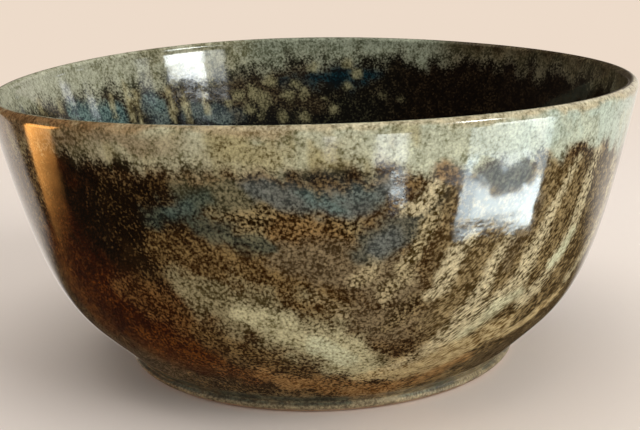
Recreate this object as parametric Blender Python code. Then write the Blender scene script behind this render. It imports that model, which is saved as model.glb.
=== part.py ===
"""A hand-thrown stoneware bowl: one turned piece with a rounded lip, a gently flared wall,
a full belly that tucks in to a low foot ring, and a shallow trimmed recess underneath.

Metres, +Z up. The origin is the centre of the foot ring's resting plane, so the bowl stands on z = 0.
"""

import math

import bmesh
import bpy
from mathutils import Vector

# ---------------------------------------------------------------- driving dimensions (metres)
RIM_R = 0.0883  # outer radius at the lip
HEIGHT = 0.0788  # foot to the top of the lip
LIP_THICKNESS = 0.0032  # across the rounded lip

WALL_FOOT_R = 0.0541  # outer wall where it meets the foot
WALL_FOOT_Z = 0.0034
BELLY_ANGLE = math.radians(47.7)  # slope at which the wall leaves the foot, from the horizontal
BELLY_REACH = 0.0250  # how far that slope carries
RIM_FLARE = math.radians(11.3)  # lean of the wall at the lip, from the vertical
RIM_REACH = 0.0634  # how far that lean carries down the wall

FLOOR_Z = 0.0086  # lowest point inside
FLOOR_REACH = 0.0738  # how far the dished floor carries
INNER_FLARE = math.radians(16.3)  # lean of the inner wall just below the lip
INNER_REACH = 0.0653

NECK_R = 0.0538  # narrowest point, in the groove above the foot ring
NECK_Z = 0.0029
FOOT_R = 0.0546  # foot ring at its widest
FOOT_EDGE_Z = 0.0018  # height of that widest point
FOOT_BEAD = 0.0007  # rounding above it
FOOT_REST_R = 0.0528  # outer edge of the flat that the bowl rests on
FOOT_INNER_R = 0.0452  # inner edge of that flat
RECESS_R = 0.0432  # where the recess wall ends
RECESS_EDGE_Z = 0.0022
RECESS_Z = 0.0028  # height of the recess at the middle

SEGMENTS = 72  # facets round the bowl
WALL_STEPS = 20  # facets up each side of the wall
LIP_STEPS = 8  # facets over the lip


def bezier(p0, p1, p2, p3, steps):
    """Points along a cubic curve, both ends included."""
    points = []
    for i in range(steps + 1):
        t = i / steps
        s = 1.0 - t
        points.append(p0 * s**3 + p1 * (3 * s * s * t) + p2 * (3 * s * t * t) + p3 * t**3)
    return points


def arc(centre, radius_r, radius_z, start, end, steps):
    """Points along an ellipse's arc in the (radius, height) plane, angles in radians."""
    points = []
    for i in range(steps + 1):
        a = start + (end - start) * i / steps
        points.append(centre + Vector((radius_r * math.cos(a), radius_z * math.sin(a))))
    return points


def lean(angle, length):
    """A step down a wall that leans outward by this angle from the vertical."""
    return Vector((-math.sin(angle), -math.cos(angle))) * length


def profile():
    """The turned section, (radius, height), from the middle of the floor over the lip and round to the
    middle of the recess underneath."""
    half_lip = LIP_THICKNESS / 2
    lip_centre = Vector((RIM_R - half_lip, HEIGHT - half_lip))
    lip_inner = lip_centre - Vector((half_lip, 0))
    lip_outer = lip_centre + Vector((half_lip, 0))

    floor = Vector((0.0, FLOOR_Z))
    inner_wall = bezier(
        floor,
        floor + Vector((FLOOR_REACH, 0)),
        lip_inner + lean(INNER_FLARE, INNER_REACH),
        lip_inner,
        WALL_STEPS,
    )
    lip = arc(lip_centre, half_lip, half_lip, math.pi, 0.0, LIP_STEPS)
    wall_foot = Vector((WALL_FOOT_R, WALL_FOOT_Z))
    outer_wall = bezier(
        lip_outer,
        lip_outer + lean(RIM_FLARE, RIM_REACH),
        wall_foot + Vector((math.cos(BELLY_ANGLE), math.sin(BELLY_ANGLE))) * BELLY_REACH,
        wall_foot,
        WALL_STEPS,
    )
    neck = [Vector((NECK_R, NECK_Z))]
    bead = arc(
        Vector((FOOT_R - FOOT_BEAD, FOOT_EDGE_Z)), FOOT_BEAD, FOOT_BEAD, math.radians(75), math.radians(-30), 3
    )
    foot = [Vector((FOOT_REST_R, 0.0)), Vector((FOOT_INNER_R, 0.0))]
    recess = []
    for i in range(5):
        # The recess rises a little towards its middle, as a turned base does.
        t = i / 4
        recess.append(Vector((RECESS_R * (1 - t), RECESS_EDGE_Z + (RECESS_Z - RECESS_EDGE_Z) * math.sin(t * math.pi / 2))))
    return inner_wall + lip[1:-1] + outer_wall + neck + bead + foot + recess


def glaze():
    """Glossy mottled brown, olive and celadon glaze, here as its mean colour."""
    material = bpy.data.materials.new("reactive_glaze")
    material.use_nodes = True
    shader = material.node_tree.nodes["Principled BSDF"]
    shader.inputs["Base Color"].default_value = (0.145, 0.115, 0.06, 1.0)
    shader.inputs["Roughness"].default_value = 0.12
    shader.inputs["Metallic"].default_value = 0.0
    material.diffuse_color = (0.36, 0.32, 0.23, 1.0)
    return material


def turned(name, section, segments, material):
    """A closed body of revolution about Z through this section, whose two ends lie on the axis."""
    mesh = bpy.data.meshes.new(name)
    bm = bmesh.new()
    points = [bm.verts.new((p.x, 0.0, p.y)) for p in section]
    edges = [bm.edges.new(pair) for pair in zip(points, points[1:])]
    bmesh.ops.spin(
        bm,
        geom=points + edges,
        cent=(0, 0, 0),
        axis=(0, 0, 1),
        angle=2 * math.pi,
        steps=segments,
        use_merge=True,
        use_duplicate=False,
    )
    bmesh.ops.remove_doubles(bm, verts=bm.verts, dist=1e-7)
    bmesh.ops.recalc_face_normals(bm, faces=bm.faces)
    bm.to_mesh(mesh)
    bm.free()
    mesh.materials.append(material)
    mesh.shade_smooth()
    mesh.set_sharp_from_angle(angle=math.radians(40))
    body = bpy.data.objects.new(name, mesh)
    bpy.context.scene.collection.objects.link(body)
    return body


for existing in list(bpy.data.objects):
    bpy.data.objects.remove(existing, do_unlink=True)

turned("bowl", profile(), SEGMENTS, glaze())
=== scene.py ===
import math

import bpy
import numpy as np
from mathutils import Matrix, Vector


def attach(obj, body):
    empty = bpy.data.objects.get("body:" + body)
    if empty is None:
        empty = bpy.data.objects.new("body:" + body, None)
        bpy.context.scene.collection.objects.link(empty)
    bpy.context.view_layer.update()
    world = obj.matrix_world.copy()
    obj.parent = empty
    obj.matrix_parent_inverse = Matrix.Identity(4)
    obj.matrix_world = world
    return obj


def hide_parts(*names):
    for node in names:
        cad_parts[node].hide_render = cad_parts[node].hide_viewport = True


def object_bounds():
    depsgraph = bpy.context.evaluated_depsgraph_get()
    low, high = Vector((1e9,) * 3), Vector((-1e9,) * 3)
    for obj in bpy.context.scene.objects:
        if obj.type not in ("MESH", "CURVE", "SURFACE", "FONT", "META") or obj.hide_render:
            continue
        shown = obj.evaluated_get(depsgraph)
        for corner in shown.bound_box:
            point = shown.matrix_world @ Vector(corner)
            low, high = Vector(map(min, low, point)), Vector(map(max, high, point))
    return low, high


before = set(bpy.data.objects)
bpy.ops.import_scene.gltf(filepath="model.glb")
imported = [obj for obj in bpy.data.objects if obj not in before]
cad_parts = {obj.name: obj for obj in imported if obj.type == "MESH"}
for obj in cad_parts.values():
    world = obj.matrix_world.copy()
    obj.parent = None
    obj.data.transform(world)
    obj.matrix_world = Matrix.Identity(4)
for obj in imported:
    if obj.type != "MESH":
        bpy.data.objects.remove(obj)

CAD_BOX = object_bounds()

# Everything below is worked out in millimetres and degrees, and written to Blender in metres.
# Angle 0 is +X, 90 is +Y, and 270 is -Y, the side that the camera faces.

# ------------------------------------------------------------------ the bowl's section
RIM_R = 87.5  # mean outer radius of the lip
RIM_H = 78.56  # mean height of the lip
LIP_HALF = 1.6
RIM_FLARE = 11.27  # lean of the wall at the lip, from the vertical
RIM_REACH = 63.4
WALL_FOOT = (54.0, 2.95)  # where the wall meets the foot's groove
BELLY_ANGLE = 47.66
BELLY_REACH = 24.97
FLOOR_Z = 8.6
FLOOR_REACH = 73.8
INNER_FLARE = 16.3
INNER_REACH = 65.3
FOOT = ((53.75, 2.75), (53.95, 2.5), (54.45, 2.2), (54.62, 1.8), (54.5, 1.35), (53.9, 0.75), (53.2, 0.22), (52.7, 0.0))
FOOT_INNER = ((49.0, 0.0), (45.3, 0.0), (44.6, 0.25), (43.6, 1.6), (42.9, 2.1))
RECESS_R, RECESS_EDGE_Z, RECESS_Z = 42.0, 2.3, 2.8

SEGMENTS = 420  # round the bowl
RINGS = {"floor": 24, "inner": 62, "lip": 14, "outer": 88, "foot": 16, "under": 10}


def bezier(p0, p1, p2, p3, n):
    t = np.linspace(0, 1, n)[:, None]
    s = 1 - t
    p0, p1, p2, p3 = (np.asarray(p, float) for p in (p0, p1, p2, p3))
    return p0 * s**3 + p1 * 3 * s * s * t + p2 * 3 * s * t * t + p3 * t**3


def along(points):
    return np.concatenate([[0.0], np.cumsum(np.linalg.norm(np.diff(points, axis=0), axis=1))])


def resample(points, n, ease=0.0):
    """n + 1 points evenly spaced along this line; ease above 0 crowds them towards its end."""
    a = along(points)
    u = np.linspace(0, 1, n + 1)
    u = u * (1 - ease) + ease * (1 - (1 - u) ** 2)
    return np.stack([np.interp(u * a[-1], a, points[:, 0]), np.interp(u * a[-1], a, points[:, 1])], -1)


def lean(angle, length):
    return -length * np.array([math.sin(math.radians(angle)), math.cos(math.radians(angle))])


def section():
    """(radius, height) of each ring, the part of the bowl that it is on, and how far it is from the lip's top."""
    lip_z = RIM_H - LIP_HALF
    lip_in = np.array([RIM_R - 2 * LIP_HALF, lip_z])
    lip_out = np.array([RIM_R, lip_z])
    inside = bezier((0, FLOOR_Z), (FLOOR_REACH, FLOOR_Z), lip_in + lean(INNER_FLARE, INNER_REACH), lip_in, 900)
    turn = np.linspace(math.pi, 0, RINGS["lip"] + 1)
    lip = np.stack([RIM_R - LIP_HALF + LIP_HALF * np.cos(turn), lip_z + LIP_HALF * np.sin(turn)], -1)
    foot_dir = np.array([math.cos(math.radians(BELLY_ANGLE)), math.sin(math.radians(BELLY_ANGLE))])
    wall_foot = np.array(WALL_FOOT)
    outside = bezier(lip_out, lip_out + lean(RIM_FLARE, RIM_REACH), wall_foot + BELLY_REACH * foot_dir, wall_foot, 900)

    split = int(np.argmax(inside[:, 0] > 52.0))
    floor = resample(inside[: split + 1], RINGS["floor"])
    inner = resample(inside[split:], RINGS["inner"])
    outer = resample(outside, RINGS["outer"])
    foot = resample(np.array([WALL_FOOT, *FOOT, *FOOT_INNER]), RINGS["foot"] * 2)
    t = np.linspace(0, 1, RINGS["under"])
    under = np.stack([RECESS_R * (1 - t) + 0.6 * t, RECESS_EDGE_Z + (RECESS_Z - RECESS_EDGE_Z) * np.sin(t * math.pi / 2)], -1)
    floor[0, 0] = 0.6
    rows, parts = [], []
    for name, part in (("floor", floor[:-1]), ("inner", inner[:-1]), ("lip", lip), ("outer", outer[1:]), ("foot", foot[1:]), ("under", under)):
        rows.append(part)
        parts += [name] * len(part)
    rows = np.vstack(rows)
    top = int(np.argmax(rows[:, 1] + (rows[:, 0] > 60) * 0.0))
    run = along(rows)
    return rows, np.array(parts), run - run[top]


ROWS, PARTS, RUN = section()
N_ROWS = len(ROWS)
THETA = np.arange(SEGMENTS) * 360.0 / SEGMENTS

th = np.repeat(THETA[None, :], N_ROWS, 0).ravel()  # per point, ring by ring
r0 = np.repeat(ROWS[:, 0][:, None], SEGMENTS, 1).ravel()
z0 = np.repeat(ROWS[:, 1][:, None], SEGMENTS, 1).ravel()
run = np.repeat(RUN[:, None], SEGMENTS, 1).ravel()  # below 0 inside, above 0 outside
s_mm = np.abs(run)  # distance down the wall from the top of the lip
part_of = np.repeat(PARTS[:, None], SEGMENTS, 1).ravel()
outside = run > 0
under_clay = (part_of == "under") | ((part_of == "foot") & (r0 < 53.4))


# ------------------------------------------------------------------ noise, the same on every run
def lattice(i, j, k, seed):
    with np.errstate(over="ignore"):
        h = (
            i.astype(np.uint32) * np.uint32(0x9E3779B1)
            ^ j.astype(np.uint32) * np.uint32(0x85EBCA77)
            ^ k.astype(np.uint32) * np.uint32(0xC2B2AE3D)
            ^ np.uint32((seed * 0x27D4EB2F) & 0xFFFFFFFF)
        )
        h ^= h >> np.uint32(15)
        h *= np.uint32(0x2C1B3C6D)
        h ^= h >> np.uint32(12)
        h *= np.uint32(0x297A2D39)
        h ^= h >> np.uint32(15)
    return h.astype(np.float64) / 4294967296.0


def value_noise(p, seed):
    i = np.floor(p).astype(np.int64)
    f = p - i
    f = f * f * (3 - 2 * f)
    out = 0.0
    for a in (0, 1):
        for b in (0, 1):
            for c in (0, 1):
                w = (f[:, 0] if a else 1 - f[:, 0]) * (f[:, 1] if b else 1 - f[:, 1]) * (f[:, 2] if c else 1 - f[:, 2])
                out = out + w * lattice(i[:, 0] + a, i[:, 1] + b, i[:, 2] + c, seed)
    return out


def fbm(p, size, seed, octaves=3):
    """Noise about 0.5 with features of this size (mm)."""
    total, weight, amp = 0.0, 0.0, 1.0
    for o in range(octaves):
        total = total + amp * value_noise(p / size * 2**o + 31.7 * o, seed + 101 * o)
        weight += amp
        amp *= 0.55
    return 0.5 + (total / weight - 0.5) * 1.5


def smooth(a, b, x):
    t = np.clip((x - a) / (b - a), 0, 1)
    return t * t * (3 - 2 * t)


# ------------------------------------------------------------------ the hand-thrown form
def wave(theta, r, z):
    """The rim isn't quite level or round, and the wall follows it less and less on its way down."""
    t = np.radians(theta)
    dz = -1.025 * np.cos(2 * t) - 0.517 * np.sin(2 * t) + 0.173 * np.cos(3 * t) - 0.036 * np.sin(3 * t) - 1.148
    dr = -0.152 * np.cos(2 * t) - 0.043 * np.sin(2 * t) - 0.921 * np.cos(3 * t) + 0.132 * np.sin(3 * t)
    w = np.clip(z / RIM_H, 0, 1)
    w = np.where(r < 45, w * r / 45, w)
    return r + w * dr, z + w * w * dz


rw, zw = wave(th, r0, z0)
base = np.stack([rw * np.cos(np.radians(th)), rw * np.sin(np.radians(th)), zw], -1)
grid = base.reshape(N_ROWS, SEGMENTS, 3)


def normals(g):
    a = np.roll(g, -1, 1) - np.roll(g, 1, 1)
    b = np.gradient(g, axis=0)
    n = np.cross(a, b)
    n /= np.linalg.norm(n, axis=-1, keepdims=True) + 1e-12
    return n


nrm = normals(grid)
mid = N_ROWS - RINGS["under"] - 60
if (nrm[mid, 0] * np.array([1, 0, 0])).sum() < 0:
    nrm = -nrm
nrm = nrm.reshape(-1, 3)

# ------------------------------------------------------------------ the camera, at the photo's viewing angle
FOCAL_PX = 1200.0
CAM_AT = Vector((0.0, -333.38 * math.cos(0.1248), 80.0 + 333.38 * math.sin(0.1248)))
LOOK_PX = (314.551, 64.12)  # where the point (0, 0, 80) falls in the 640 x 430 frame
ROLL = 0.02866


def camera_axes():
    d = (Vector((0, 0, 80)) - CAM_AT).normalized()
    right = Vector((1, 0, 0))
    up = right.cross(d)
    turn = Matrix((right, up, -d))
    c, s = math.cos(ROLL), math.sin(ROLL)
    turn = Matrix(((c, -s, 0), (s, c, 0), (0, 0, 1))) @ turn
    v = Vector(((LOOK_PX[0] - 320) / FOCAL_PX, -(LOOK_PX[1] - 215) / FOCAL_PX, -1)).normalized()
    return Vector((0, 0, -1)).rotation_difference(v).to_matrix() @ turn


VIEW = np.array(camera_axes())
EYE = np.array(CAM_AT)


def to_pixels(p):
    q = (p - EYE) @ VIEW.T
    return np.stack([320 + FOCAL_PX * q[:, 0] / -q[:, 2], 215 - FOCAL_PX * q[:, 1] / -q[:, 2]], -1)


pix = to_pixels(base)
facing = ((base - EYE) * nrm).sum(1) < 0
ON = {
    "out": np.where(facing & outside & (part_of == "outer") & (np.sin(np.radians(th)) < 0.3))[0],
    "in": np.where(facing & ~outside & (z0 > 30) & (np.sin(np.radians(th)) > -0.2))[0],
}


def at(x, y, side="out"):
    """The bowl's (angle, distance down from the lip) behind this point of the frame."""
    idx = ON[side]
    d2 = ((pix[idx] - (x, y)) ** 2).sum(1)
    near = np.argsort(d2)[:4]
    w = 1 / (d2[near] + 0.05)
    i = idx[near]
    a = np.radians(th[i])
    ang = math.degrees(math.atan2((np.sin(a) * w).sum(), (np.cos(a) * w).sum())) % 360
    return ang, float((s_mm[i] * w).sum() / w.sum())


# ------------------------------------------------------------------ glaze palette (sRGB as seen in daylight)
def lin(c):
    c = np.asarray(c, float) / 255
    return np.where(c <= 0.04045, c / 12.92, ((c + 0.055) / 1.055) ** 2.4)


# Each look is the dark ground of the glaze, the flecks that float on it, and how much of it they cover.
LOOKS = {
    "brown": ((56, 38, 18), (128, 106, 70), 0.42),
    "brown_warm": ((58, 38, 14), (130, 108, 68), 0.41),
    "near_black": ((15, 5, 1), (62, 36, 16), 0.20),
    "dark_fleck": ((22, 12, 4), (90, 70, 38), 0.27),
    "rust": ((46, 12, 1), (88, 46, 12), 0.38),
    "rust_light": ((66, 26, 3), (108, 66, 24), 0.46),
    "tan_dark": ((82, 64, 40), (134, 112, 84), 0.5),
    "tan": ((84, 72, 46), (148, 136, 108), 0.52),
    "pale": ((102, 98, 66), (176, 172, 142), 0.58),
    "pale_ochre": ((90, 76, 38), (168, 160, 120), 0.55),
    "pale_green": ((118, 120, 90), (180, 184, 160), 0.64),
    "pale_celadon": ((128, 138, 118), (172, 184, 168), 0.72),
    "teal": ((38, 48, 42), (74, 86, 74), 0.5),
    "teal_bright": ((48, 66, 64), (98, 120, 114), 0.56),
    "slate": ((64, 68, 64), (104, 108, 102), 0.5),
    "slate_dark": ((52, 54, 46), (98, 98, 84), 0.5),
    "grey_green": ((62, 60, 40), (110, 106, 82), 0.52),
    "ochre": ((44, 30, 8), (154, 136, 96), 0.46),
    "ochre_red": ((58, 34, 8), (140, 108, 64), 0.42),
    "mauve": ((72, 58, 36), (124, 110, 84), 0.5),
    "celadon_dim": ((78, 68, 38), (146, 138, 106), 0.56),
    "celadon": ((112, 104, 68), (180, 174, 138), 0.64),
    "celadon_pale": ((134, 128, 94), (190, 192, 160), 0.70),
    "cream": ((76, 62, 32), (192, 180, 144), 0.55),
    "cream_soft": ((70, 56, 26), (180, 166, 128), 0.48),
    "gold": ((116, 90, 46), (202, 184, 138), 0.58),
    "drip_brown": ((74, 58, 30), (150, 132, 94), 0.42),
    "orange": ((122, 80, 34), (176, 138, 88), 0.5),
    "pool": ((38, 40, 32), (96, 98, 78), 0.44),
    "foot_grey": ((112, 96, 66), (164, 148, 114), 0.5),
    "lip_brown": ((96, 64, 34), (142, 104, 64), 0.5),
    "lip_tan": ((112, 94, 62), (172, 154, 118), 0.55),
    "lip_cream": ((130, 120, 90), (190, 180, 148), 0.6),
    "in_sage": ((118, 116, 86), (172, 170, 144), 0.58),
    "in_olive": ((96, 92, 62), (160, 154, 124), 0.52),
    "in_celadon": ((84, 88, 68), (138, 142, 120), 0.55),
    "in_brown": ((44, 32, 16), (90, 76, 52), 0.42),
    "in_teal": ((40, 62, 62), (104, 126, 118), 0.5),
    "in_slate": ((40, 50, 50), (96, 106, 98), 0.48),
    "in_deep_teal": ((2, 15, 19), (14, 44, 50), 0.44),
    "in_black": ((10, 8, 4), (50, 48, 32), 0.30),
    "in_dark": ((14, 6, 2), (46, 32, 18), 0.34),
    "in_run": ((104, 92, 56), (176, 164, 122), 0.58),
    "in_blob": ((84, 78, 50), (140, 132, 96), 0.6),
}

total = len(th)
ground = np.zeros((total, 3))
fleck = np.zeros((total, 3))
cover = np.zeros(total)
drip = np.zeros(total)  # how far the flecks are drawn out along the glaze's run
matte = np.zeros(total)
thick = np.zeros(total)  # glaze thickness, for the relief
flat_xyz = np.stack([r0 * np.cos(np.radians(th)), r0 * np.sin(np.radians(th)), z0], -1)


def paint(mask, look, strength=1.0):
    """Lays a look on. Its flecks reach a little further than its ground, so two fields meet in grains."""
    g, f, c = LOOKS[look]
    m = np.clip(mask, 0, 1)
    under_, over = m**1.8 * strength, (1 - (1 - m) ** 1.8) * strength
    ground[:] += (lin(g) - ground) * under_[:, None]
    fleck[:] += (lin(f) - fleck) * over[:, None]
    cover[:] += (c - cover) * m * strength


def reach(path, widths, side):
    """Distance to a line of (angle, distance down the wall), over the line's half width there."""
    sel = outside if side == "out" else ~outside
    best = np.full(total, 9.0)
    t_, s_, r_ = th[sel], s_mm[sel], np.maximum(r0[sel], 20.0)
    b = np.full(len(t_), 9.0)
    k = math.pi / 180 * r_
    for (a0, s0), (a1, s1), w0, w1 in zip(path, path[1:], widths, widths[1:]):
        ax = ((a0 - t_ + 180) % 360 - 180) * k
        ay = s0 - s_
        dx = ((a1 - a0 + 180) % 360 - 180) * k
        dy = s1 - s0
        q = np.clip(-(ax * dx + ay * dy) / (dx * dx + dy * dy + 1e-9), 0, 1)
        b = np.minimum(b, np.hypot(ax + q * dx, ay + q * dy) / (w0 + (w1 - w0) * q))
    best[sel] = b
    return best


_seed = [1000]


def brush(points, width, look=None, strength=1.0, soft=0.35, rag=0.45, grain=4.0, side="out", px=True):
    """A stroke of glaze. Its points are places in the frame, or (angle, mm down the wall) where px is False."""
    path = [at(x, y, side) for x, y in points] if px else list(points)
    if len(path) == 1:
        path = [path[0], (path[0][0] + 0.01, path[0][1])]
    widths = list(width) if isinstance(width, (tuple, list)) else [width] * len(path)
    if len(widths) < len(path):
        widths = list(np.interp(np.linspace(0, 1, len(path)), np.linspace(0, 1, len(widths)), widths))
    _seed[0] += 7
    d = reach(path, widths, side)
    close = np.where(d < 1 + soft + 1.6 * rag)[0]
    mask = np.zeros(total)
    if len(close):
        n = fbm(flat_xyz[close], grain, _seed[0], 3) - 0.5
        mask[close] = 1 - smooth(1 - soft, 1 + soft, d[close] + rag * 2 * n)
    if look:
        paint(mask, look, strength)
    return mask * strength


def edge(points, side="out", px=True):
    """A ragged line round the bowl, as the distance down the wall at each point."""
    pts = sorted(((at(x, y, side) if px else (x, y)) for x, y in points), key=lambda q: (q[0] - 90) % 360)
    a = np.array([(q[0] - 90) % 360 for q in pts])
    s = np.array([q[1] for q in pts])
    return np.interp((th - 90) % 360, np.concatenate([[a[-1] - 360], a, [a[0] + 360]]), np.concatenate([[s[-1]], s, [s[0]]]))


side_out = outside.astype(float)
side_in = 1 - side_out

# ------------------------------------------------------------------ outside: the coat under everything
paint(side_out, "brown")
# The far side, in the same manner: broad fields of rust, ochre, celadon and slate, leaning as the glaze ran.
rng = np.random.default_rng(7)
far_side = np.maximum(smooth(340, 350, th), smooth(208, 196, th))
for k in range(46):
    l = rng.uniform(8, 26)
    a = 344 + rng.uniform(0, 218 - l)
    s = rng.uniform(22, 84)
    d = rng.uniform(-10, 10)
    name = ["rust", "ochre", "brown_warm", "celadon_dim", "dark_fleck", "mauve", "celadon", "ochre_red", "teal", "slate_dark"][k % 10]
    m = brush([(a, s), (a + l * 0.45, s + d * 0.5), (a + l * 0.9, s + d)], rng.uniform(3.5, 9.0), None, 0.85, 0.5, 0.6, 6.0, px=False)
    paint(m * far_side, name)

# ------------------------------------------------------------------ outside: the side that the camera faces
brush([(68, 190), (76, 240), (96, 288), (132, 322), (175, 350)], (9, 11, 13, 13, 10), "rust", 1.0, 0.4)
brush([(118, 284), (150, 302), (184, 334)], (7, 7, 6), "rust", 0.9, 0.5)
brush([(58, 250), (70, 278), (88, 305), (110, 328)], (5, 4, 4, 4), "rust_light", 0.9, 0.5)
brush([(160, 350), (205, 362), (250, 378)], (7, 6, 4), "rust_light", 0.7, 0.5)
brush([(84, 168), (92, 200), (102, 232), (112, 250)], (8, 11.5, 10, 5), "near_black", 0.95, 0.6, 0.6)
brush([(130, 182), (128, 215), (150, 238)], (9, 10, 6), "dark_fleck", 0.95, 0.5)
brush([(165, 185), (172, 240), (150, 270)], (5, 5, 6), "dark_fleck", 0.6, 0.5)
brush([(165, 250), (205, 268), (255, 276), (305, 292), (340, 312)], (6, 7, 7, 6, 4), "brown_warm", 0.9, 0.4)
brush([(130, 290), (160, 305), (190, 325)], (5, 6, 5), "ochre_red", 0.5, 0.5)
brush([(215, 196), (250, 212), (290, 224), (325, 232), (348, 246)], (4, 6, 7, 6, 4), "ochre", 1.0, 0.35)
brush([(285, 232), (318, 238), (340, 250)], (4, 5, 3.5), "ochre_red", 0.7, 0.5)
brush([(192, 186), (218, 192), (240, 196)], (5, 5.5, 4), "grey_green", 0.9, 0.4)
brush([(285, 258), (330, 264), (372, 272), (400, 290)], (4, 6, 6.5, 5), "mauve", 0.9, 0.4)
brush([(252, 186), (300, 192), (345, 196), (374, 190)], (3, 4.5, 5.5, 4), "slate", 0.95, 0.35)
brush([(304, 190), (324, 201), (343, 212)], (1.4, 2.4, 1.5), "teal_bright", 0.7, 0.95, 1.0, 2.6)
brush([(355, 186), (372, 196)], (2.4, 2.6), "teal_bright", 0.35, 0.95, 1.0, 2.6)
brush([(150, 218), (176, 212), (204, 200)], (1.8, 3.0, 2.2), "teal", 0.85, 0.95, 1.0, 3.0)
brush([(196, 224), (226, 237), (252, 245), (272, 248)], (1.8, 2.6, 2.0, 0.9), "teal", 0.75, 0.95, 1.0, 3.0)
brush([(172, 213), (188, 208)], (1.4, 1.5), "teal_bright", 0.35, 0.8, 0.8, 3.0)
brush([(372, 246), (392, 236), (410, 226), (424, 212), (438, 196), (450, 184)], (4, 5, 4.5, 3, 3, 2.4), "slate_dark", 0.9, 0.6, 0.7)
brush([(352, 318), (388, 326), (424, 322), (452, 306)], (3.4, 4.6, 4.6, 3.4), "mauve", 0.85, 0.6, 0.7)
brush([(378, 246), (392, 240)], (2.4, 2.6), "slate", 0.9, 0.5)
brush([(186, 284), (230, 304), (288, 330), (340, 356), (378, 370)], (3.5, 6.5, 7.5, 6.5, 4), "celadon_dim", 0.85, 0.75, 0.7)
brush([(244, 312), (288, 331), (340, 357), (372, 370)], (2.6, 4.6, 5.5, 3.5), "celadon", 0.95, 0.75, 0.7)
brush([(318, 346), (345, 360)], (2.4, 2.8), "celadon_pale", 0.8, 0.5)
brush([(205, 335), (250, 352), (300, 372)], (3, 3, 2.4), "brown_warm", 0.6, 0.5)

# the right: brown between long runs of cream glaze that lean to the left as they fall
right = smooth(284, 292, (th - 0.0)) * smooth(352, 338, th) * side_out * smooth(12, 17, s_mm)
paint(right, "drip_brown", 0.9)
drip[:] = np.maximum(drip, right * 0.9)
RUNS = [
    ([(444, 181), (431, 197), (417, 206), (405, 210)], (2.0, 2.4, 2.2, 1.5), "cream"),
    ([(436, 213), (428, 226), (422, 242), (412, 256), (400, 267)], (1.5, 2.0, 1.8, 1.7, 1.5), "cream_soft"),
    ([(472, 237), (459, 249), (450, 267), (440, 288), (430, 297)], (1.8, 2.2, 2.4, 2.2, 1.5), "cream"),
    ([(509, 238), (501, 252), (493, 266), (486, 284), (473, 304), (459, 324), (440, 342)], (1.8, 1.9, 1.8, 2.0, 2.4, 3.0, 3.0), "cream"),
    ([(580, 156), (566, 184), (554, 208), (544, 232), (531, 256), (521, 278), (506, 294), (490, 306), (470, 320), (450, 336)], (1.2, 1.4, 1.6, 2.2, 2.6, 2.8, 3.0, 3.2, 3.6, 3.8), "cream"),
    ([(598, 150), (590, 174), (583, 197), (576, 220), (566, 243), (553, 262), (538, 284), (520, 302)], (1.9, 2.2, 2.5, 2.6, 2.6, 2.3, 2.2, 2.2), "cream"),
    ([(616, 156), (610, 186), (601, 212), (592, 234), (582, 254), (566, 278)], (3.0, 3.2, 2.8, 2.4, 2.0, 1.8), "cream"),
    ([(560, 290), (540, 308), (520, 324), (500, 336)], (1.4, 1.8, 1.8, 1.5), "gold"),
]
for path, width, look in RUNS:
    m = brush(path, width, look, 1.0, 0.35, 0.3, 2.6)
    drip[:] = np.maximum(drip, m)
    thick[:] = np.maximum(thick, m * 0.8)
brush([(374, 266), (366, 274), (356, 282)], (1.5, 1.8, 1.3), "cream_soft", 0.75, 0.8, 0.8, 2.4)
brush([(410, 274), (397, 284), (382, 296)], (1.8, 2.6, 2.0), "cream_soft", 0.75, 0.8, 0.8, 2.4)
brush([(416, 302), (402, 314), (388, 326)], (1.6, 2.2, 1.8), "ochre", 0.6, 0.8, 0.8, 2.4)
brush([(318, 298), (334, 307), (346, 314)], (1.4, 2.0, 1.4), "cream_soft", 0.45, 0.8, 0.8, 2.4)
brush([(572, 232), (562, 250), (552, 262)], (1.6, 1.9, 1.4), "celadon_pale", 0.9, 0.5)
brush([(520, 292), (498, 306), (478, 322), (458, 336)], (1.4, 2.2, 2.4, 1.8), "celadon_pale", 0.6, 0.5)
brush([(506, 322), (474, 342), (440, 356), (402, 368), (366, 376)], (2.6, 4.2, 5.4, 5.0, 3.0), "gold", 0.85, 0.6, 0.6, 3.0)
brush([(480, 316), (450, 334), (424, 352), (396, 366)], (1.4, 1.8, 2.0, 1.6), "cream", 0.7, 0.6, 0.7, 2.6)
brush([(541, 200), (526, 228), (512, 246), (506, 266)], (1.8, 2.4, 2.2, 1.8), "mauve", 0.7, 0.5)
brush([(590, 144), (576, 174), (566, 204), (556, 232)], (0.8, 0.9, 0.9, 0.8), "drip_brown", 0.5, 0.6)
brush([(611, 140), (606, 154), (602, 168)], (1.5, 1.5, 1.1), "drip_brown", 0.85, 0.5)
brush([(602, 170), (595, 194), (588, 216), (579, 240)], (0.7, 0.7, 0.6, 0.6), "drip_brown", 0.35, 0.6)
brush([(619, 178), (612, 208), (603, 234), (592, 258)], (3.0, 3.0, 2.4, 2.0), "cream_soft", 0.7, 0.6)

# towards the foot
brush([(262, 374), (305, 386), (345, 391), (388, 388), (425, 376), (462, 358)], (2.4, 3.8, 4.0, 3.8, 3.2, 2.2), "orange", 0.7, 0.85, 0.9)
brush([(395, 378), (425, 370), (450, 358), (478, 345)], (1.2, 1.6, 1.6, 1.2), "gold", 0.6, 0.6)

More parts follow.
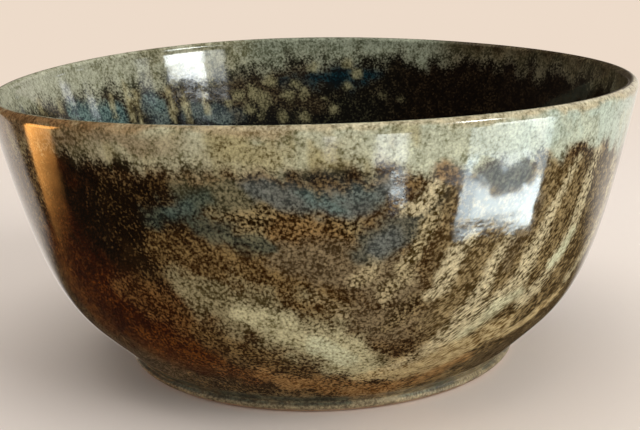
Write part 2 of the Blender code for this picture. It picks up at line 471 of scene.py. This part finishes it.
# ------------------------------------------------------------------ outside: the pale band under the lip
BAND = [(14, 150), (40, 150), (66, 152), (95, 166), (125, 174), (155, 170), (185, 176), (215, 174), (250, 173), (290, 177), (318, 183),
        (345, 178), (368, 174), (392, 172), (418, 168), (440, 166), (470, 166), (505, 164), (530, 160), (552, 154), (572, 148), (590, 140), (606, 138), (618, 150)]
back_edge = [(352 + 15 * k, 16 + 4 * math.sin(k * 1.7) + 2.5 * math.sin(k * 4.1)) for k in range(13)]
band_px = [at(x, y) for x, y in BAND]
band_s = edge(band_px + [(a % 360, s) for a, s in back_edge], px=False)
n_band = fbm(flat_xyz * np.array([1, 1, 0.35]), 2.6, 51, 3) - 0.5
n_band2 = fbm(flat_xyz * np.array([1, 1, 0.4]), 9.0, 52, 2) - 0.5
band = side_out * (1 - smooth(-4.2, 2.4, s_mm - band_s + 5.5 * n_band + 4.0 * n_band2))
line = side_out * (1 - smooth(0, 2.6, np.abs(s_mm - band_s - 1.0 + 4.5 * n_band)))


def span(a0, a1, b0, b1):
    """1 between two angles, with a fade over a0..a1 and over b0..b1, on through 360."""
    x = (th - a0) % 360
    return smooth(0, a1 - a0, x) * (1 - smooth(b0 - a0, b1 - a0, x))


paint(line * span(225, 240, 490, 530), "brown", 0.75)
paint(band, "pale")
paint(band * span(130, 175, 225, 242), "tan")
paint(band * span(160, 190, 218, 230), "tan_dark")
paint(band * span(268, 284, 470, 520), "pale_green")
paint(band * span(292, 312, 425, 475), "pale_celadon")
for x0, x1, y0 in ((232, 250, 152), (292, 330, 150), (300, 345, 162), (214, 236, 140)):
    m = brush([(x0, y0), (x1, y0 + 4)], 2.2, None, 0.8, 0.7, 0.8, 3.0)
    paint(m * band, "pale_ochre")
paint(band * smooth(0.52, 0.70, fbm(flat_xyz * np.array([1, 1, 0.5]), 5.0, 61, 3)) * span(20, 60, 292, 308), "pale_ochre", 0.7)
paint(band * smooth(0.54, 0.70, fbm(flat_xyz * np.array([1, 1, 0.4]), 4.0, 62, 3)) * span(242, 264, 480, 530), "pale_green", 0.6)
paint(side_out * (1 - smooth(1.0, 3.4, np.abs(s_mm - 5.0 + 5.0 * n_band2))) * span(150, 190, 240, 255), "tan_dark", 0.6)
drip[:] = np.maximum(drip, band * 0.35)
thick[:] = np.maximum(thick, band * 0.6)
# where the thick band ends, the glaze has dried matt in patches
for path, w, m in (
    ([(488, 170), (505, 176), (526, 172)], 3.2, 1.0),
    ([(500, 184), (515, 182)], 2.4, 0.8),
    ([(440, 172), (456, 174)], 2.2, 0.7),
):
    matte[:] = np.maximum(matte, brush(path, w, None, m, 0.5, 0.6, 2.5))
brush([(286, 176), (312, 178), (338, 177), (368, 174)], (1.2, 1.8, 1.8, 1.3), "dark_fleck", 0.7, 0.8, 0.9, 2.6)
brush([(490, 174), (508, 178), (524, 172)], 2.8, "slate", 0.85, 0.5)
brush([(442, 170), (456, 176)], 1.9, "ochre_red", 0.9, 0.5)
brush([(545, 156), (552, 166), (556, 178)], (1.8, 2.0, 1.4), "drip_brown", 0.85, 0.5)
matte[:] = np.maximum(matte, side_out * smooth(5.6, 4.0, z0))
matte[:] = np.maximum(matte, 0.25 * side_out * span(350, 370, 530, 550))

# ------------------------------------------------------------------ the lip, where the glaze breaks thin
lip_n = fbm(flat_xyz, 3.0, 71, 3) - 0.5
lip_n2 = fbm(flat_xyz, 11.0, 72, 2) - 0.5
lip_out = side_out * (1 - smooth(1.2, 3.4, s_mm + 1.6 * lip_n + 2.2 * lip_n2))
lip_in = side_in * (1 - smooth(0.6, 2.0, s_mm + 0.8 * lip_n))
paint(np.maximum(lip_out, lip_in), "lip_tan")
paint(lip_out * span(150, 190, 222, 254), "lip_brown", 0.9)
paint(lip_out * span(256, 280, 470, 520), "lip_cream", 0.9)
paint(lip_out * smooth(0.10, 0.28, lip_n), "lip_tan", 0.6)

# ------------------------------------------------------------------ outside: the foot
low = side_out * smooth(6.5, 4.6, z0 + 1.8 * (fbm(flat_xyz, 6.0, 81, 3) - 0.5))
paint(low * (part_of == "outer"), "foot_grey", 0.35)
pooled = smooth(0.44, 0.62, fbm(flat_xyz, 8.0, 83, 3))
paint(side_out * pooled * smooth(2.2, 0.4, np.abs(z0 - 4.0 + 1.2 * (fbm(flat_xyz, 5.0, 82, 3) - 0.5))), "pool", 0.9)
paint(side_out * smooth(3.2, 2.6, z0), "foot_grey", 0.9)
paint(side_out * smooth(2.9, 2.6, z0) * smooth(2.1, 2.4, z0) * (0.1 + 0.7 * pooled), "pool")

# ------------------------------------------------------------------ inside
paint(side_in, "in_black")
for k in range(60):
    a = rng.uniform(0, 360)
    s = rng.uniform(20, 118)
    name = ["in_black", "in_slate", "in_dark", "in_deep_teal", "in_black", "in_brown"][k % 6]
    brush([(a, s), (a + rng.uniform(-3, 3), s + rng.uniform(4, 12))], rng.uniform(2.5, 7.5), name, 0.75, 0.5, 0.6, 5.0, side="in", px=False)
IN_BAND = [(12, 112), (30, 110), (50, 103), (72, 97), (95, 94), (118, 90), (140, 88), (165, 86), (192, 86), (220, 81), (248, 77), (270, 72),
           (295, 63), (330, 62), (360, 63), (400, 62), (440, 63), (470, 64), (510, 66), (550, 72), (590, 80)]
in_px = [at(x, y, "in") for x, y in IN_BAND]
in_s = edge(in_px + [(200 + 16 * k, 15 + 5 * math.sin(k * 2.1)) for k in range(9)], px=False)
n_in = fbm(flat_xyz * np.array([1, 1, 0.3]), 3.0, 91, 3) - 0.5
n_in2 = fbm(flat_xyz, 7.0, 92, 3) - 0.5
in_band = side_in * (1 - smooth(-7.0, 3.5, s_mm - in_s + 6.0 * n_in + 5.0 * n_in2))
paint(side_in * (1 - smooth(0, 9, np.abs(s_mm - in_s - 4.0 + 6.0 * n_in2))) * span(70, 84, 205, 236), "in_brown", 0.8)
left_in = smooth(104, 118, th) * smooth(236, 205, th)
paint(side_in * smooth(80, 60, th), "in_dark", 0.9)
paint(side_in * smooth(300, 320, th), "in_dark", 0.9)
brush([(74, 110), (96, 113), (118, 115)], (3.0, 4.2, 3.4), "in_teal", 0.95, 0.5, side="in")
brush([(146, 104), (158, 112), (164, 118)], (3.2, 3.4, 2.6), "in_slate", 0.9, 0.5, side="in")
brush([(152, 96), (158, 104)], (2.4, 2.6), "in_teal", 0.6, 0.5, side="in")
brush([(190, 112), (212, 114), (240, 116)], (3.0, 3.6, 3.0), "in_slate", 0.9, 0.5, side="in")
brush([(288, 84), (318, 77), (352, 77), (374, 74)], (2.6, 4.0, 3.6, 2.2), "in_deep_teal", 1.0, 0.7, 0.8, side="in")
paint(in_band, "in_olive")
paint(in_band * smooth(128, 150, th), "in_sage")
paint(in_band * smooth(0.5, 0.66, fbm(flat_xyz, 6.0, 93, 3)) * left_in, "in_sage", 0.8)
paint(in_band * smooth(112, 100, th) * smooth(52, 62, th), "in_celadon", 0.9)
# towards the inside right the band is painted brown: darker glaze there, and partly painted shade, as that wall faces
# away from the window light
paint(in_band * smooth(64, 54, th), "in_brown", 0.95)
paint(in_band * smooth(300, 320, th), "in_brown", 0.95)
IN_RUNS = [((124, 84), (128, 104), (134, 121)), ((134, 90), (138, 108), (142, 121)), ((168, 90), (172, 106), (176, 122)), ((182, 94), (187, 108), (190, 123)),
           ((112, 96), (114, 108), (116, 116)), ((203, 92), (206, 104), (208, 112)), ((58, 100), (60, 108), (62, 112)), ((38, 100), (40, 106), (42, 110))]
for k, path in enumerate(IN_RUNS):
    m = brush(path, (0.9, 1.1, 0.8), "in_run", 0.7, 0.8, 1.0, 2.0, side="in")
    drip[:] = np.maximum(drip, m)
BLOBS = [(252, 92, 2.0), (262, 100, 2.2), (271, 80, 1.7), (288, 97, 1.8), (304, 93, 1.5), (314, 68, 1.6), (282, 116, 1.6), (306, 117, 1.6), (250, 108, 1.5),
         (296, 84, 1.1), (347, 64, 1.2), (357, 74, 1.3), (348, 85, 1.3), (332, 110, 1.4), (240, 96, 1.6), (228, 102, 1.4), (262, 116, 1.3), (326, 98, 0.9), (383, 95, 1.0), (401, 99, 1.0)]
brush([(242, 102), (272, 98), (300, 100), (322, 104)], (4.5, 5.0, 4.5, 3.0), "in_brown", 0.6, 0.9, 0.9, 3.0, side="in")
for x, y, w in BLOBS:
    m = brush([(x, y)], w * 1.15, "in_blob", 0.75 if x < 360 else 0.35, 0.6, 0.75, 2.0, side="in")
    thick[:] = np.maximum(thick, m)
drip[:] = np.maximum(drip, in_band * 0.5)

# ------------------------------------------------------------------ small changes everywhere, so that no field is even
wander = fbm(flat_xyz, 2.2, 5, 2) - 0.5
wander2 = fbm(flat_xyz, 7.0, 6, 3) - 0.5
cover[:] = np.clip(cover + 0.22 * wander + 0.16 * wander2, 0.02, 0.98)
tone = 1 + 0.22 * (fbm(flat_xyz, 5.0, 9, 3) - 0.5)
ground *= tone[:, None]
fleck *= (1 + 0.16 * (fbm(flat_xyz, 4.0, 10, 3) - 0.5))[:, None]
clay = under_clay.astype(float)
clay = np.maximum(clay, side_out * smooth(1.15, 0.75, z0 + 0.35 * (fbm(flat_xyz, 4.0, 95, 3) - 0.5)) * (r0 > 50))

# ------------------------------------------------------------------ relief: throwing lines, glaze thickness, soft unevenness
depth = np.zeros(total)
fade = smooth(1.0, 7.0, s_mm) * np.where(outside, smooth(3.5, 9.0, z0), 1.0)
spiral = s_mm + th / 360 * 7.0
depth += fade * np.where(outside, 0.006, 0.005) * np.sin(spiral * 2 * math.pi / 7.0 + 2.2 * (fbm(flat_xyz, 30.0, 21, 2) - 0.5))
depth += fade * 0.05 * (fbm(flat_xyz, 30.0, 22, 1) - 0.5)
depth += fade * 0.006 * (fbm(flat_xyz, 7.0, 23, 2) - 0.5)
depth += fade * thick * (0.025 + 0.01 * (fbm(flat_xyz, 3.0, 24, 2) - 0.5))
depth += smooth(0.5, 2.0, s_mm) * smooth(6.0, 3.0, s_mm) * 0.02 * (fbm(flat_xyz, 6.0, 25, 2) - 0.5)
under = part_of == "under"
depth += under * 0.07 * np.sin(r0 * 2 * math.pi / 4.2 + np.radians(th)) * smooth(1, 6, r0)
points = base + nrm * depth[:, None]
limit = 0.01
for axis in range(3):
    lo, hi = CAD_BOX[0][axis] * 1000 + limit, CAD_BOX[1][axis] * 1000 - limit
    if axis == 2:
        lo = 0.0
    points[:, axis] = np.clip(points[:, axis], lo, hi)

# ------------------------------------------------------------------ the mesh
verts = (points / 1000).tolist()
c0 = len(verts)
verts.append((0.0, 0.0, float(points[:SEGMENTS, 2].mean()) / 1000))
verts.append((0.0, 0.0, float(points[-SEGMENTS:, 2].mean()) / 1000))
faces = []
for i in range(N_ROWS - 1):
    a = i * SEGMENTS
    b = a + SEGMENTS
    for j in range(SEGMENTS):
        k = (j + 1) % SEGMENTS
        faces.append((a + j, b + j, b + k, a + k))
last = (N_ROWS - 1) * SEGMENTS
for j in range(SEGMENTS):
    k = (j + 1) % SEGMENTS
    faces.append((c0, j, k))
    faces.append((c0 + 1, last + k, last + j))
mesh = bpy.data.meshes.new("glazed_bowl")
mesh.from_pydata(verts, [], faces)
mesh.update()
if mesh.polygons[SEGMENTS * 3].normal.z < 0:
    mesh.flip_normals()
mesh.shade_smooth()
bowl = bpy.data.objects.new("glazed_bowl", mesh)
bpy.context.scene.collection.objects.link(bowl)


def add_colour(name, rgb, alpha=None):
    data = np.ones((total + 2, 4), np.float32)
    data[:total, :3] = rgb
    data[total, :3] = rgb[:SEGMENTS].mean(0)
    data[total + 1, :3] = rgb[-SEGMENTS:].mean(0)
    if alpha is not None:
        data[:total, 3] = alpha
        data[total, 3] = alpha[:SEGMENTS].mean()
        data[total + 1, 3] = alpha[-SEGMENTS:].mean()
    layer = mesh.attributes.new(name, "FLOAT_COLOR", "POINT")
    layer.data.foreach_set("color", data.ravel())


add_colour("ground", ground)
add_colour("fleck", fleck)
add_colour("coat", np.stack([cover, drip, matte], -1), clay)

# Coordinates that lean and stretch with the glaze's run, for flecks drawn out along it.
lean_deg = np.where(outside, -0.2 * s_mm - 0.011 * np.clip(s_mm - 26, 0, 60) ** 2, 0.0)
a = np.radians(th - lean_deg)
warp = np.zeros((total + 2, 3), np.float32)
warp[:total] = np.stack([72 * np.cos(a), 72 * np.sin(a), s_mm * 0.72], -1) / 1000
layer = mesh.attributes.new("warp", "FLOAT_VECTOR", "POINT")
layer.data.foreach_set("vector", warp.ravel())


# ------------------------------------------------------------------ materials
def node(tree, kind, links=None, **values):
    n = tree.nodes.new(kind)
    for key, value in values.items():
        setattr(n, key, value)
    for key, value in (links or {}).items():
        socket = n.inputs[key]
        if isinstance(value, bpy.types.NodeSocket):
            tree.links.new(value, socket)
        else:
            socket.default_value = value
    return n


def maths(tree, op, a, b=None, c=None, clamp=False):
    n = tree.nodes.new("ShaderNodeMath")
    n.operation = op
    n.use_clamp = clamp
    for i, v in enumerate((a, b, c)):
        if v is None:
            continue
        if isinstance(v, bpy.types.NodeSocket):
            tree.links.new(v, n.inputs[i])
        else:
            n.inputs[i].default_value = v
    return n.outputs[0]


def mix_colour(tree, fac, a, b, blend="MIX"):
    n = tree.nodes.new("ShaderNodeMix")
    n.data_type = "RGBA"
    n.blend_type = blend
    for sock, v in ((n.inputs[0], fac), (n.inputs[6], a), (n.inputs[7], b)):
        if isinstance(v, bpy.types.NodeSocket):
            tree.links.new(v, sock)
        else:
            sock.default_value = v
    return n.outputs[2]


def ranged(tree, value, lo, hi, out_lo=0.0, out_hi=1.0, kind="SMOOTHSTEP"):
    n = tree.nodes.new("ShaderNodeMapRange")
    n.interpolation_type = kind
    for key, v in (("Value", value), ("From Min", lo), ("From Max", hi), ("To Min", out_lo), ("To Max", out_hi)):
        if isinstance(v, bpy.types.NodeSocket):
            tree.links.new(v, n.inputs[key])
        else:
            n.inputs[key].default_value = v
    return n.outputs["Result"]


def noise(tree, vector, scale, detail=2.0, rough=0.6, distortion=0.0):
    n = node(tree, "ShaderNodeTexNoise", {"Vector": vector, "Scale": scale, "Detail": detail, "Roughness": rough, "Distortion": distortion})
    return n.outputs["Fac"]


def grains(tree, vector, scale):
    """Rounded grains, one to a cell of this scale, as a value about 0.5."""
    n = node(tree, "ShaderNodeTexVoronoi", {"Vector": vector, "Scale": scale})
    return maths(tree, "MULTIPLY_ADD", n.outputs["Distance"], -0.8, 0.94)


def either(tree, fac, a, b):
    n = tree.nodes.new("ShaderNodeMix")
    n.data_type = "FLOAT"
    for sock, v in ((n.inputs[0], fac), (n.inputs[2], a), (n.inputs[3], b)):
        tree.links.new(v, sock)
    return n.outputs[0]


def glaze_material():
    m = bpy.data.materials.new("reactive_glaze")
    m.use_nodes = True
    t = m.node_tree
    shader = t.nodes["Principled BSDF"]
    g = node(t, "ShaderNodeAttribute", attribute_name="ground").outputs["Color"]
    f = node(t, "ShaderNodeAttribute", attribute_name="fleck").outputs["Color"]
    coat = node(t, "ShaderNodeAttribute", attribute_name="coat")
    parts = node(t, "ShaderNodeSeparateColor", {"Color": coat.outputs["Color"]})
    cov, run_, mat = parts.outputs[0], parts.outputs[1], parts.outputs[2]
    bare = coat.outputs["Alpha"]
    place = node(t, "ShaderNodeTexCoord").outputs["Object"]
    warp_ = node(t, "ShaderNodeAttribute", attribute_name="warp").outputs["Vector"]

    flecks = either(t, run_, noise(t, place, 1350, 3.0, 0.66, 0.3), noise(t, warp_, 1450, 3.0, 0.66, 0.3))
    grain = either(t, run_, grains(t, place, 1250), grains(t, warp_, 1300))
    clumps = noise(t, place, 330, 2.0, 0.6)
    n = maths(t, "ADD", maths(t, "MULTIPLY", flecks, 0.60), maths(t, "MULTIPLY", clumps, 0.20))
    n = maths(t, "ADD", n, maths(t, "MULTIPLY", grain, 0.20))
    level = maths(t, "MULTIPLY_ADD", maths(t, "SUBTRACT", 0.5, cov), 0.36, 0.5)
    mask = ranged(t, n, maths(t, "SUBTRACT", level, 0.07), maths(t, "ADD", level, 0.07))
    fine = noise(t, place, 2600, 3.0, 0.7)
    body = mix_colour(t, mask, g, f)
    # the brightest crystals sit in the middle of the flecks, and the ground is darkest between them
    spark = ranged(t, n, maths(t, "ADD", level, 0.05), maths(t, "ADD", level, 0.15))
    lit = ranged(t, spark, 0.0, 1.0, 1.0, 1.35, "LINEAR")
    body = mix_colour(t, 1.0, body, node(t, "ShaderNodeCombineColor", {0: lit, 1: lit, 2: lit}).outputs[0], "MULTIPLY")
    deep = ranged(t, n, maths(t, "SUBTRACT", level, 0.16), maths(t, "SUBTRACT", level, 0.04), 0.62, 1.0)
    shade = maths(t, "MULTIPLY", deep, ranged(t, fine, 0.3, 0.7, 0.76, 1.24, "LINEAR"))
    grey = node(t, "ShaderNodeCombineColor", {0: shade, 1: shade, 2: shade}).outputs[0]
    body = mix_colour(t, 1.0, body, grey, "MULTIPLY")

    # bare buff clay with iron specks, at the foot and underneath
    speck = ranged(t, noise(t, place, 900, 1.0, 0.5), 0.66, 0.72)
    sand = ranged(t, noise(t, place, 2600, 3.0, 0.65), 0.3, 0.7)
    clay_c = mix_colour(t, sand, (0.42, 0.27, 0.17, 1), (0.58, 0.41, 0.28, 1))
    clay_c = mix_colour(t, speck, clay_c, (0.16, 0.07, 0.03, 1))
    wash = ranged(t, noise(t, place, 90, 3.0, 0.6), 0.42, 0.62, 0.0, 0.45)
    clay_c = mix_colour(t, wash, clay_c, (0.33, 0.15, 0.07, 1))
    body = mix_colour(t, bare, body, clay_c)
    t.links.new(body, shader.inputs["Base Color"])

    gloss = ranged(t, noise(t, place, 600, 2.0, 0.6), 0.35, 0.7, 0.05, 0.10)
    rough = maths(t, "MULTIPLY_ADD", mat, 0.42, gloss)
    rough = maths(t, "ADD", rough, maths(t, "MULTIPLY", bare, 0.65), clamp=True)
    t.links.new(rough, shader.inputs["Roughness"])
    shader.inputs["IOR"].default_value = 1.52
    height = maths(t, "ADD", maths(t, "MULTIPLY", n, 0.6), maths(t, "MULTIPLY", noise(t, place, 480, 2.0, 0.5), 0.9))
    height = maths(t, "ADD", height, maths(t, "MULTIPLY", maths(t, "MULTIPLY", sand, bare), 0.8))
    bump = node(t, "ShaderNodeBump", {"Strength": 0.10, "Distance": 0.00012, "Height": height})
    t.links.new(bump.outputs[0], shader.inputs["Normal"])
    return m


mesh.materials.append(glaze_material())

# ------------------------------------------------------------------ a layout for the bake: strips of wall, and two discs
uv = mesh.uv_layers.new(name="OFBake")
px_u = 1.0 / 1024
loops_v = np.empty(len(mesh.loops), np.int64)
mesh.loops.foreach_get("vertex_index", loops_v)
poly_of = np.repeat(np.arange(len(mesh.polygons)), [p.loop_total for p in mesh.polygons])
uvs = np.zeros((len(loops_v), 2))
n_quads = (N_ROWS - 1) * SEGMENTS
ring_of_poly = np.where(np.arange(len(mesh.polygons)) < n_quads, np.arange(len(mesh.polygons)) // SEGMENTS, -1)
col_of_poly = np.where(ring_of_poly >= 0, np.arange(len(mesh.polygons)) % SEGMENTS, 0)
first_outer = int(np.argmax(RUN >= -0.01))
split_in = RINGS["floor"]
first_under = int(np.argmax((PARTS == "foot") & (ROWS[:, 0] < 53.0)))


def lay(sel, corner_v, u0, v0, scale, s_from, quarter):
    """One quarter of a wall, as a strip whose width is that of the lip."""
    rows_i = corner_v // SEGMENTS
    cols = corner_v % SEGMENTS
    step = SEGMENTS // 4
    local = (cols - quarter * step) % SEGMENTS
    x = local * (2 * math.pi * RIM_R / SEGMENTS) * scale
    y = np.abs(RUN[rows_i] - s_from) * scale
    uvs[sel, 0] = (u0 + x) * px_u
    uvs[sel, 1] = (v0 + y) * px_u


loop_ring = ring_of_poly[poly_of]
loop_quarter = col_of_poly[poly_of] // (SEGMENTS // 4)
OUT_SCALE, IN_SCALE = 3.35, 2.42
out_h = abs(RUN[first_under] - RUN[first_outer]) * OUT_SCALE
in_h = abs(RUN[first_outer] - RUN[split_in]) * IN_SCALE
strip_w = 2 * math.pi * RIM_R / 4
for q in range(4):
    sel = (loop_ring >= first_outer) & (loop_ring < first_under) & (loop_quarter == q)
    lay(sel, loops_v[sel], 6 + (q % 2) * (strip_w * OUT_SCALE + 10), 6 + (q // 2) * (out_h + 8), OUT_SCALE, RUN[first_outer], q)
    sel = (loop_ring >= split_in) & (loop_ring < first_outer) & (loop_quarter == q)
    lay(sel, loops_v[sel], 6 + (q % 2) * (strip_w * IN_SCALE + 8), 6 + 2 * (out_h + 8) + (q // 2) * (in_h + 6), IN_SCALE, RUN[first_outer], q)
left_u = 6 + 2 * (strip_w * IN_SCALE + 8)
room_u = 1024 - 6 - left_u
base_v = 6 + 2 * (out_h + 8)


def disc(sel, cu, cv, radius_px, ring_from, ring_to, centre):
    v = loops_v[sel]
    at_centre = v >= total
    rows_i = np.where(at_centre, centre, np.minimum(v // SEGMENTS, N_ROWS - 1))
    far = abs(RUN[ring_to] - RUN[ring_from])
    rad = np.where(at_centre, 0.0, (abs(RUN[rows_i] - RUN[ring_from]) + 0.6) / (far + 0.6)) * radius_px
    ang = np.radians(THETA[np.where(at_centre, 0, v % SEGMENTS)])
    uvs[sel, 0] = (cu + rad * np.cos(ang)) * px_u
    uvs[sel, 1] = (cv + rad * np.sin(ang)) * px_u


tri = np.arange(len(mesh.polygons)) >= n_quads
top_fan = tri & ((np.arange(len(mesh.polygons)) - n_quads) % 2 == 0)
low_fan = tri & ~top_fan
r_floor = min(room_u / 2 - 2, 128)
sel = ((loop_ring >= 0) & (loop_ring < split_in)) | top_fan[poly_of]
disc(sel, left_u + r_floor, base_v + r_floor, r_floor, 0, split_in, 0)
r_under = min(r_floor, (1024 - 6 - (base_v + 2 * r_floor + 6)) / 2)
sel = (loop_ring >= first_under) | low_fan[poly_of]
disc(sel, left_u + r_floor, base_v + 2 * r_floor + 6 + r_under, r_under, N_ROWS - 1, first_under, N_ROWS - 1)
uv.data.foreach_set("uv", uvs.astype(np.float32).ravel())
print("bake layout: outer %.0f px high, inner %.0f px, discs %.0f and %.0f px, top %.0f px" % (out_h, in_h, r_floor, r_under, uvs[:, 1].max() * 1024))

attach(bowl, "root")
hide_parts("bowl")

# ------------------------------------------------------------------ floor, light and camera
BACK = tuple(lin((237, 219, 202))) + (1.0,)

floor_mesh = bpy.data.meshes.new("floor")
size = 12.0
floor_mesh.from_pydata([(-size, -size, 0), (size, -size, 0), (size, size, 0), (-size, size, 0)], [], [(0, 1, 2, 3)])
floor = bpy.data.objects.new("floor", floor_mesh)
bpy.context.scene.collection.objects.link(floor)
floor.location = (0, 0, -0.00005)
paper = bpy.data.materials.new("floor_paper")
paper.use_nodes = True
t = paper.node_tree
sh = t.nodes["Principled BSDF"]
sh.inputs["Roughness"].default_value = 0.9
sh.inputs["Specular IOR Level"].default_value = 0.1
sh.inputs["Base Color"].default_value = (0.88, 0.77, 0.68, 1)
far = node(t, "ShaderNodeVectorMath", {0: node(t, "ShaderNodeTexCoord").outputs["Object"]}, operation="LENGTH").outputs["Value"]
glow = node(t, "ShaderNodeEmission", {"Color": BACK, "Strength": 1.0})
blend = node(t, "ShaderNodeMixShader", {0: ranged(t, far, 0.16, 0.62)})
t.links.new(sh.outputs[0], blend.inputs[1])
t.links.new(glow.outputs[0], blend.inputs[2])
t.links.new(blend.outputs[0], t.nodes["Material Output"].inputs["Surface"])
floor_mesh.materials.append(paper)
floor.visible_glossy = False

world = bpy.data.worlds.new("studio")
bpy.context.scene.world = world
world.use_nodes = True
t = world.node_tree
t.nodes.clear()
direction = node(t, "ShaderNodeTexCoord").outputs["Generated"]
xyz = node(t, "ShaderNodeSeparateXYZ", {0: direction})
azim = maths(t, "MULTIPLY", maths(t, "ARCTAN2", xyz.outputs[1], xyz.outputs[0]), 180 / math.pi)
elev = maths(t, "MULTIPLY", maths(t, "ARCSINE", xyz.outputs[2]), 180 / math.pi)
ramp = node(t, "ShaderNodeValToRGB", {0: maths(t, "MULTIPLY_ADD", azim, 1 / 360, 0.5)})
stops = [
    (-180, (0.035, 0.028, 0.022)), (-130, (0.04, 0.032, 0.026)), (-90, (0.06, 0.055, 0.05)), (-50, (0.10, 0.10, 0.10)), (5, (0.16, 0.16, 0.15)),
    (28, (0.40, 0.38, 0.34)), (50, (0.85, 0.78, 0.70)), (90, (0.95, 0.84, 0.76)), (118, (0.95, 0.86, 0.78)), (138, (0.85, 0.74, 0.64)), (141.5, (0.05, 0.035, 0.025)),
]
el = ramp.color_ramp.elements
el[0].position, el[0].color = 0.0, (*stops[0][1], 1)
el[1].position, el[1].color = 1.0, (*stops[0][1], 1)
for a_, c_ in stops[1:]:
    el.new((a_ + 180) / 360).color = (*c_, 1)


def window(az0, az1, el0, el1, soft, colour, behind, slope=0.0):
    """A window or softbox, as a patch of the surroundings. With a slope, its sill rises to the right."""
    level_ = maths(t, "SUBTRACT", elev, maths(t, "MULTIPLY", maths(t, "ADD", azim, 33.0), slope)) if slope else elev
    a = maths(t, "MULTIPLY", ranged(t, azim, az0 - soft, az0 + soft), ranged(t, azim, az1 + soft, az1 - soft))
    b = maths(t, "MULTIPLY", ranged(t, level_, el0 - soft, el0 + soft), ranged(t, level_, el1 + soft, el1 - soft))
    return mix_colour(t, maths(t, "MULTIPLY", a, b), behind, (*colour, 1))


# the pale surroundings are only seen near the level of the bowl: higher up, and under it, the glaze sees dark
studio = mix_colour(t, maths(t, "MULTIPLY", ranged(t, elev, -4.0, 2.0), ranged(t, azim, 62.0, 80.0)), ramp.outputs[0], (0.05, 0.038, 0.03, 1))
studio = mix_colour(t, ranged(t, elev, -19.0, -25.5), studio, (0.04, 0.026, 0.017, 1))
studio = mix_colour(t, maths(t, "MULTIPLY", ranged(t, elev, -22.5, -27.0), ranged(t, azim, 92.0, 102.0)), studio, (0.05, 0.036, 0.024, 1))
WINDOWS = [
    (-35.0, 2.5, -35.8, -28.0, 0.4, (4.0, 4.7, 4.8), 0.17),
    (-29.0, -2.0, -27.0, -19.5, 0.6, (8.0, 8.8, 8.8), 0.0),
    (-35.0, 2.5, -39.2, -35.4, 0.4, (13.4, 15.6, 16.0), 0.17),
    (-35.0, -28.5, -39.2, -33.0, 0.4, (9.0, 11.0, 11.9), 0.17),
    (-27.0, -5.0, -35.5, -33.6, 0.3, (4.4, 5.2, 6.4), 0.17),
    (-72.0, -60.0, -36.0, -30.5, 0.9, (6.6, 7.0, 7.0), 0.0),
    (-65.0, -59.0, -38.5, -37.3, 0.5, (14.0, 16.0, 16.4), 0.0),
    (-91.5, -86.5, -35.0, -31.0, 0.7, (4.2, 4.2, 4.0), 0.0),
    (-40.2, -24.2, 19.6, 36.5, 0.5, (21.0, 22.4, 22.8), 0.0),
    (-48.5, -41.0, 20.0, 29.0, 0.5, (4.8, 5.1, 5.1), 0.0),
    (13.5, 17.5, 12.2, 14.0, 0.6, (3.8, 4.0, 4.0), 0.0),
    (-17.0, -11.0, 17.0, 22.0, 1.2, (2.4, 2.5, 2.5), 0.0),
    (25.2, 30.8, 11.4, 13.2, 0.7, (3.0, 3.1, 3.4), 0.0),
]
for w_ in WINDOWS:
    studio = window(*w_[:5], w_[5], studio, w_[6])
# a warm upright strip on the left, brightest at its top
warm_az = maths(t, "SUBTRACT", azim, maths(t, "ADD", elev, 19.0))
strip = maths(t, "MULTIPLY", ranged(t, warm_az, 147.0, 152.0), ranged(t, warm_az, 172.0, 166.0))
strip = maths(t, "MULTIPLY", strip, ranged(t, elev, -29.5, -17.5, 0.0, 1.0, "LINEAR"))
strip = maths(t, "MULTIPLY", maths(t, "POWER", strip, 3.0), ranged(t, elev, -10.0, -15.0))
warm = node(t, "ShaderNodeVectorMath", {0: (11.5, 5.0, 1.2)}, operation="SCALE")
t.links.new(strip, warm.inputs["Scale"])
studio = mix_colour(t, 1.0, studio, warm.outputs[0], "ADD")
above = ranged(t, elev, 38, 70)
studio = mix_colour(t, above, studio, (0.55, 0.52, 0.48, 1))

path = node(t, "ShaderNodeLightPath")
ambient = mix_colour(t, path.outputs["Is Camera Ray"], (0.50, 0.50, 0.50, 1), BACK)
final = mix_colour(t, path.outputs["Is Glossy Ray"], ambient, studio)
bg = node(t, "ShaderNodeBackground", {"Color": final, "Strength": 1.0})
out = node(t, "ShaderNodeOutputWorld", {0: bg.outputs[0]})


def area(name, at_, look_, size_, power, colour):
    data = bpy.data.lights.new(name, "AREA")
    data.shape = "RECTANGLE"
    data.size, data.size_y = size_
    data.energy = power
    data.color = colour
    o = bpy.data.objects.new(name, data)
    o.location = at_
    o.rotation_euler = (Vector(look_) - Vector(at_)).to_track_quat("-Z", "Y").to_euler()
    o.visible_glossy = False
    o.visible_camera = False
    bpy.context.scene.collection.objects.link(o)
    return o


area("window_light", (1.05, -0.75, 0.75), (0, 0, 0.04), (0.9, 0.9), 12.5, (0.97, 1.0, 1.02))
area("overhead", (-0.1, 0.1, 1.5), (0, 0, 0), (1.4, 1.4), 8.0, (1.0, 1.0, 1.0))

cam_data = bpy.data.cameras.new("camera")
cam_data.sensor_fit = "HORIZONTAL"
cam_data.sensor_width = 36.0
cam_data.lens = FOCAL_PX * 36.0 / 640
cam_data.clip_start = 0.01
cam_data.clip_end = 60.0
cam = bpy.data.objects.new("camera", cam_data)
cam.matrix_world = Matrix.Translation(CAM_AT / 1000) @ camera_axes().transposed().to_4x4()
bpy.context.scene.collection.objects.link(cam)
bpy.context.scene.camera = cam

view = bpy.context.scene.view_settings
view.view_transform = "Standard"
view.look = "None"
view.exposure = 0.0

bpy.context.view_layer.update()
